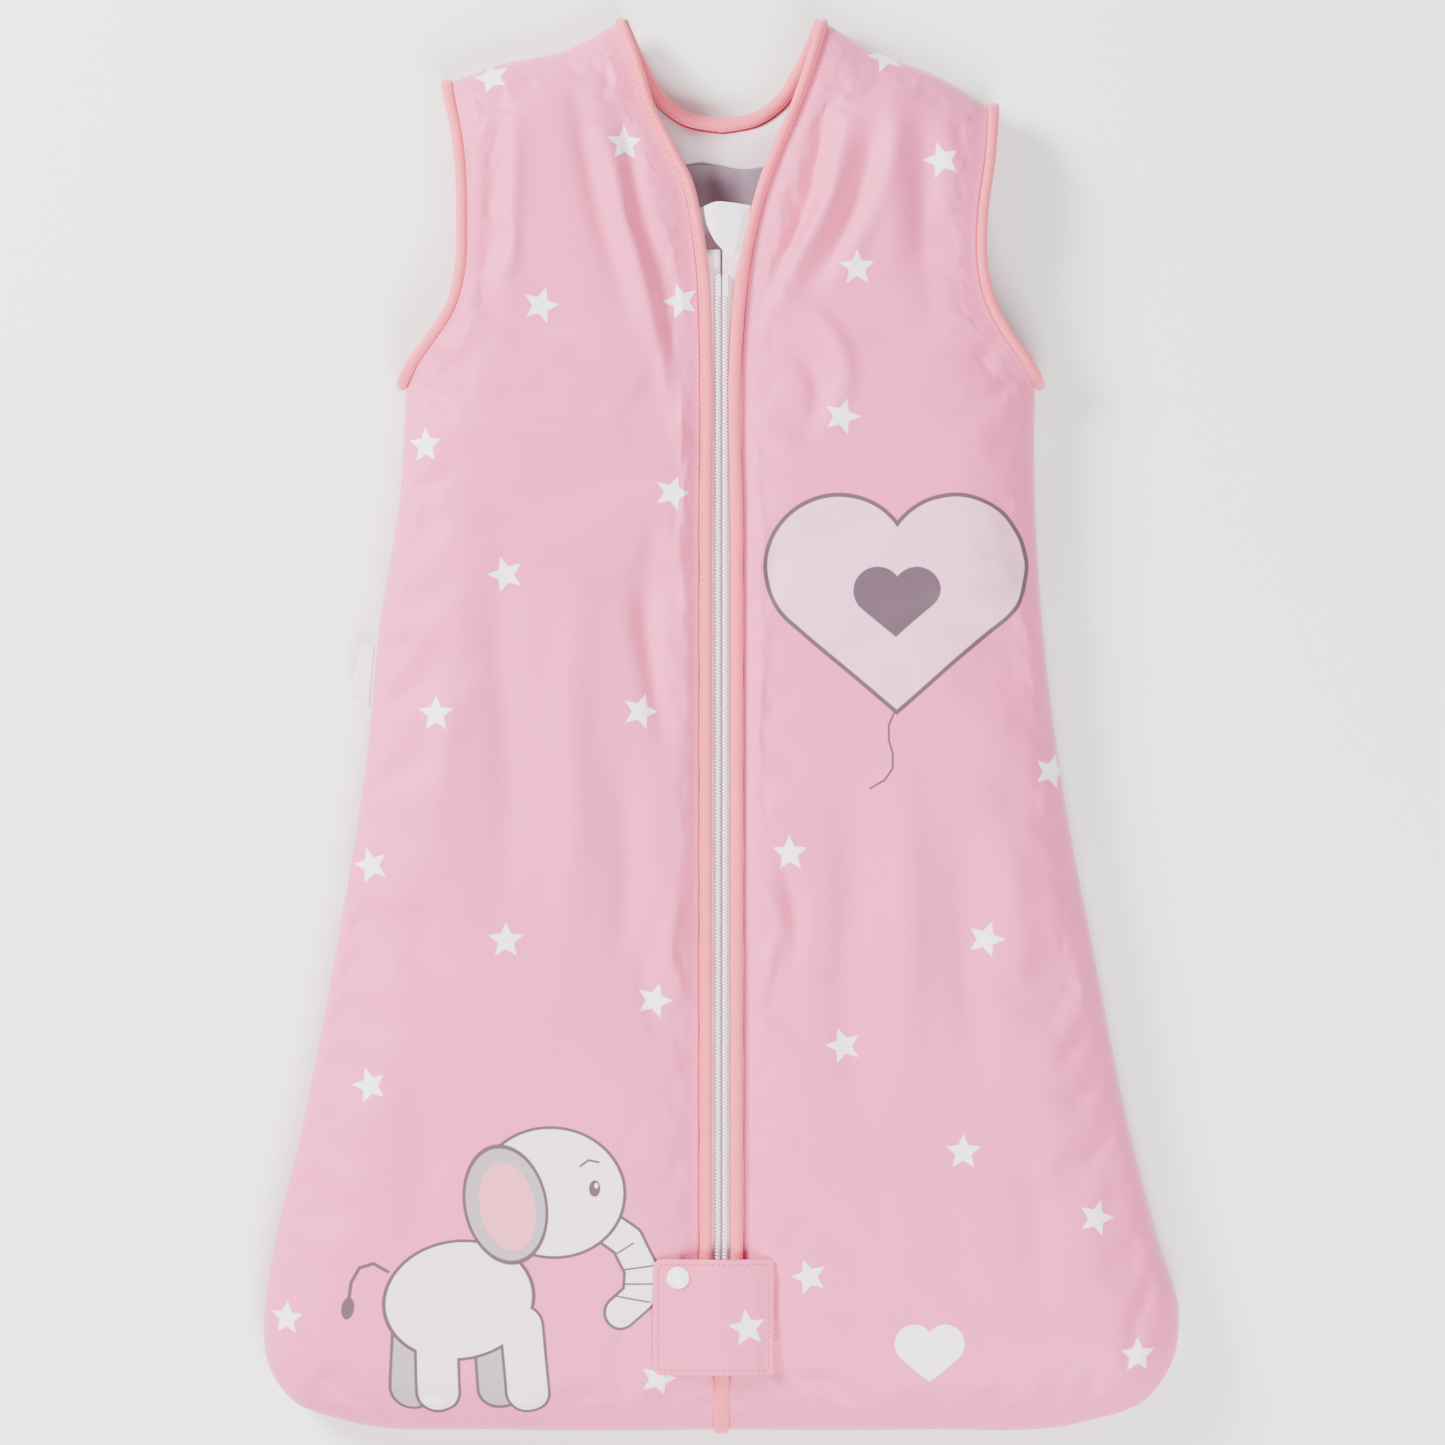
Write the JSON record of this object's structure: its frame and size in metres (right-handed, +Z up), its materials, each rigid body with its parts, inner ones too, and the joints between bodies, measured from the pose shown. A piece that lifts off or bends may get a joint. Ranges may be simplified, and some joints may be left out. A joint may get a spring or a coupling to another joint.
{
  "type": "baby sleeping bag",
  "caption": "Padded sleeveless sleeping bag for a baby, flat on its back, with bound neck and armholes, a full-length front zip and a snap flap at its foot.",
  "frame": {"origin": "centre of the bounding box's base, on the surface the back lies on", "axes": "+Z up out of the front, +Y towards the head, +X to the right of a viewer looking down on the front"},
  "size_m": [0.458, 0.7059, 0.0433],
  "materials": {
    "pink_jersey": "satin-smooth knitted jersey with small printed stars",
    "pale_lining": "plain brushed cotton lining",
    "wadding": "polyester wadding",
    "coral_binding": "ribbed bias binding",
    "zip_tape": "woven zip tape",
    "zip_plastic": "moulded nylon",
    "snap_plastic": "glossy moulded snap",
    "satin_tab": "satin ribbon",
    "grey_label": "woven satin label"
  },
  "bodies": {
    "bag": {"back_lining": "pale_lining", "back_neck_binding": "coral_binding", "back_shell": "pink_jersey", "back_wadding": "wadding", "front_left_lining": "pale_lining", "front_left_shell": "pink_jersey", "front_left_wadding": "wadding", "front_right_lining": "pale_lining", "front_right_shell": "pink_jersey", "front_right_wadding": "wadding", "hem_strip": "coral_binding", "left_armhole_binding_back": "coral_binding", "left_armhole_binding_front": "coral_binding", "left_hem_seam": "pink_jersey", "left_neck_binding": "coral_binding", "left_shoulder_seam": "pink_jersey", "left_side_seam": "pink_jersey", "left_zip_binding_foot": "coral_binding", "left_zip_coil_foot": "zip_plastic", "left_zip_tape_foot": "zip_tape", "neck_label": "grey_label", "right_armhole_binding_back": "coral_binding", "right_armhole_binding_front": "coral_binding", "right_hem_seam": "pink_jersey", "right_neck_binding": "coral_binding", "right_shoulder_seam": "pink_jersey", "right_side_seam": "pink_jersey", "right_zip_binding_foot": "coral_binding", "right_zip_coil_foot": "zip_plastic", "right_zip_tape_foot": "zip_tape", "side_label": "satin_tab", "snap_stud": "snap_plastic", "zip_bottom_stop": "zip_plastic"},
    "left_lapel": {"left_front_binding": "coral_binding", "left_lapel_lining": "pale_lining", "left_lapel_shell": "pink_jersey", "left_lapel_wadding": "wadding", "left_zip_coil": "zip_plastic", "left_zip_tape": "zip_tape", "zip_insertion_pin": "zip_plastic"},
    "right_lapel": {"chin_guard": "satin_tab", "right_front_binding": "coral_binding", "right_lapel_lining": "pale_lining", "right_lapel_shell": "pink_jersey", "right_lapel_wadding": "wadding", "right_zip_coil": "zip_plastic", "right_zip_tape": "zip_tape", "zip_retainer_box": "zip_plastic"},
    "slider": {"slider_body": "zip_plastic"},
    "pull": {"pull_tab": "zip_plastic"},
    "flap": {"flap_cloth": "pink_jersey", "flap_facing": "pale_lining", "snap_cap": "snap_plastic", "snap_socket": "snap_plastic"}
  },
  "joints": [
    {"name": "zip_slide", "type": "slide", "parent": "bag", "child": "slider", "axis": [0, 1, 0], "range_m": [0, 0.49]},
    {"name": "pull_swing", "type": "hinge", "parent": "slider", "child": "pull", "pos_m": [0, -0.2869, 0.03735], "axis": [-1, 0, 0], "range_deg": [0, 9]},
    {"name": "flap_open", "type": "hinge", "parent": "bag", "child": "flap", "pos_m": [0.026, -0.29375, 0.0386], "axis": [0, 1, 0], "range_deg": [0, 165]},
    {"name": "left_lapel_fold", "type": "hinge", "parent": "bag", "child": "left_lapel", "pos_m": [0, -0.262, 0.0367], "axis": [-0.0726, 0.9974, 0], "range_deg": [-150, 0]},
    {"name": "right_lapel_fold", "type": "hinge", "parent": "bag", "child": "right_lapel", "pos_m": [0, -0.262, 0.0367], "axis": [-0.0726, -0.9974, 0], "range_deg": [-150, 0]}
  ]
}
